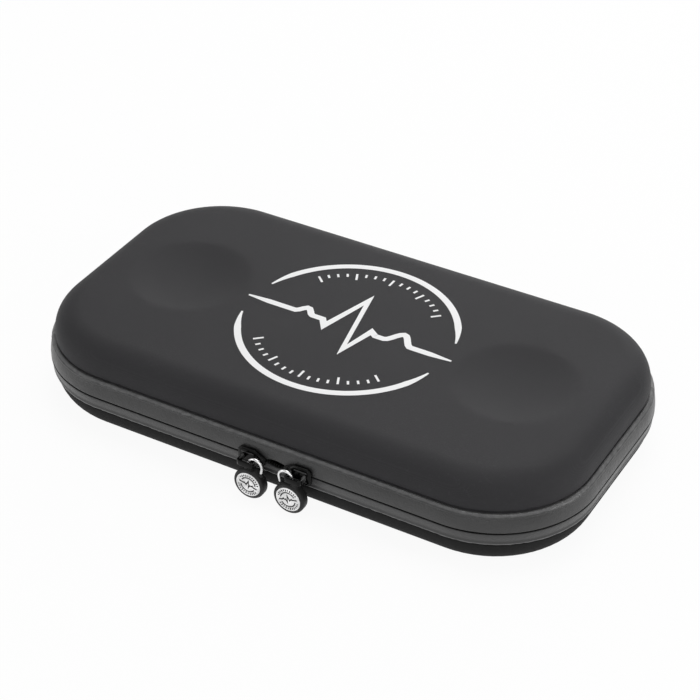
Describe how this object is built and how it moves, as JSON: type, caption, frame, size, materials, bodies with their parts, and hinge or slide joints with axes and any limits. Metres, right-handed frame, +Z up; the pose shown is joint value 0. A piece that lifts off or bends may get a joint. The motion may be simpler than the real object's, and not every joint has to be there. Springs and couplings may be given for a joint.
{
  "type": "zipped hard case",
  "caption": "Flat rounded hard case for a stethoscope: two moulded shells on a soft hinge, closed by a coil zip with two sliders and round rubber pulls.",
  "frame": {"origin": "centre of the flat underside of the base", "axes": "+X along the case to the right, -Y to the front where the sliders are, +Z up through the lid"},
  "size_m": [0.29, 0.1686, 0.0455],
  "materials": {
    "lid_cover": "matt laminated polyester",
    "base_cover": "matt laminated polyester",
    "lining": "brushed tricot",
    "ribbon": "woven ribbon",
    "coated_tape": "semi-gloss coated tape",
    "coil": "moulded nylon coil",
    "elastic": "knitted elastic",
    "net": "open knitted net",
    "black_metal": "black lacquer, satin",
    "wire": "bright nickel",
    "soft_black": "moulded rubber, satin",
    "badge_white": "white plastic, satin"
  },
  "bodies": {
    "base": {"base_shell": "base_cover", "base_lining": "lining", "base_binding": "ribbon", "base_zip_tape": "coated_tape", "base_zip_coil": "coil", "hinge_spine": "coated_tape", "elastic_strap": "elastic"},
    "lid": {"lid_shell": "lid_cover", "lid_lining": "lining", "lid_binding": "ribbon", "lid_zip_tape": "coated_tape", "lid_zip_coil": "coil", "pocket_net": "net", "pocket_hem": "elastic", "pocket_binding": "ribbon"},
    "left_runner": {"left_slider": "black_metal", "left_crown": "black_metal"},
    "left_pull": {"left_pull_wire": "wire", "left_pull_disc": "soft_black", "left_pull_badge": "badge_white"},
    "right_runner": {"right_slider": "black_metal", "right_crown": "black_metal"},
    "right_pull": {"right_pull_wire": "wire", "right_pull_disc": "soft_black", "right_pull_badge": "badge_white"}
  },
  "joints": [
    {"name": "lid_hinge", "type": "hinge", "parent": "base", "child": "lid", "pos_m": [0, 0.0805, 0.0205], "axis": [-1, 0, 0], "range_deg": [0, 165], "deforming": ["hinge_spine"]},
    {"name": "left_slider_run", "type": "slide", "parent": "base", "child": "left_runner", "axis": [-1, 0, 0], "range_m": [0, 0.08]},
    {"name": "right_slider_run", "type": "slide", "parent": "base", "child": "right_runner", "axis": [1, 0, 0], "range_m": [0, 0.064]},
    {"name": "left_pull_swing", "type": "hinge", "parent": "left_runner", "child": "left_pull", "pos_m": [-0.0034, -0.0855, 0.0205], "axis": [-0.2419, 0, -0.9703], "range_deg": [0, 120]},
    {"name": "right_pull_swing", "type": "hinge", "parent": "right_runner", "child": "right_pull", "pos_m": [0.02, -0.0855, 0.0205], "axis": [-0.2419, 0, 0.9703], "range_deg": [0, 120]}
  ]
}
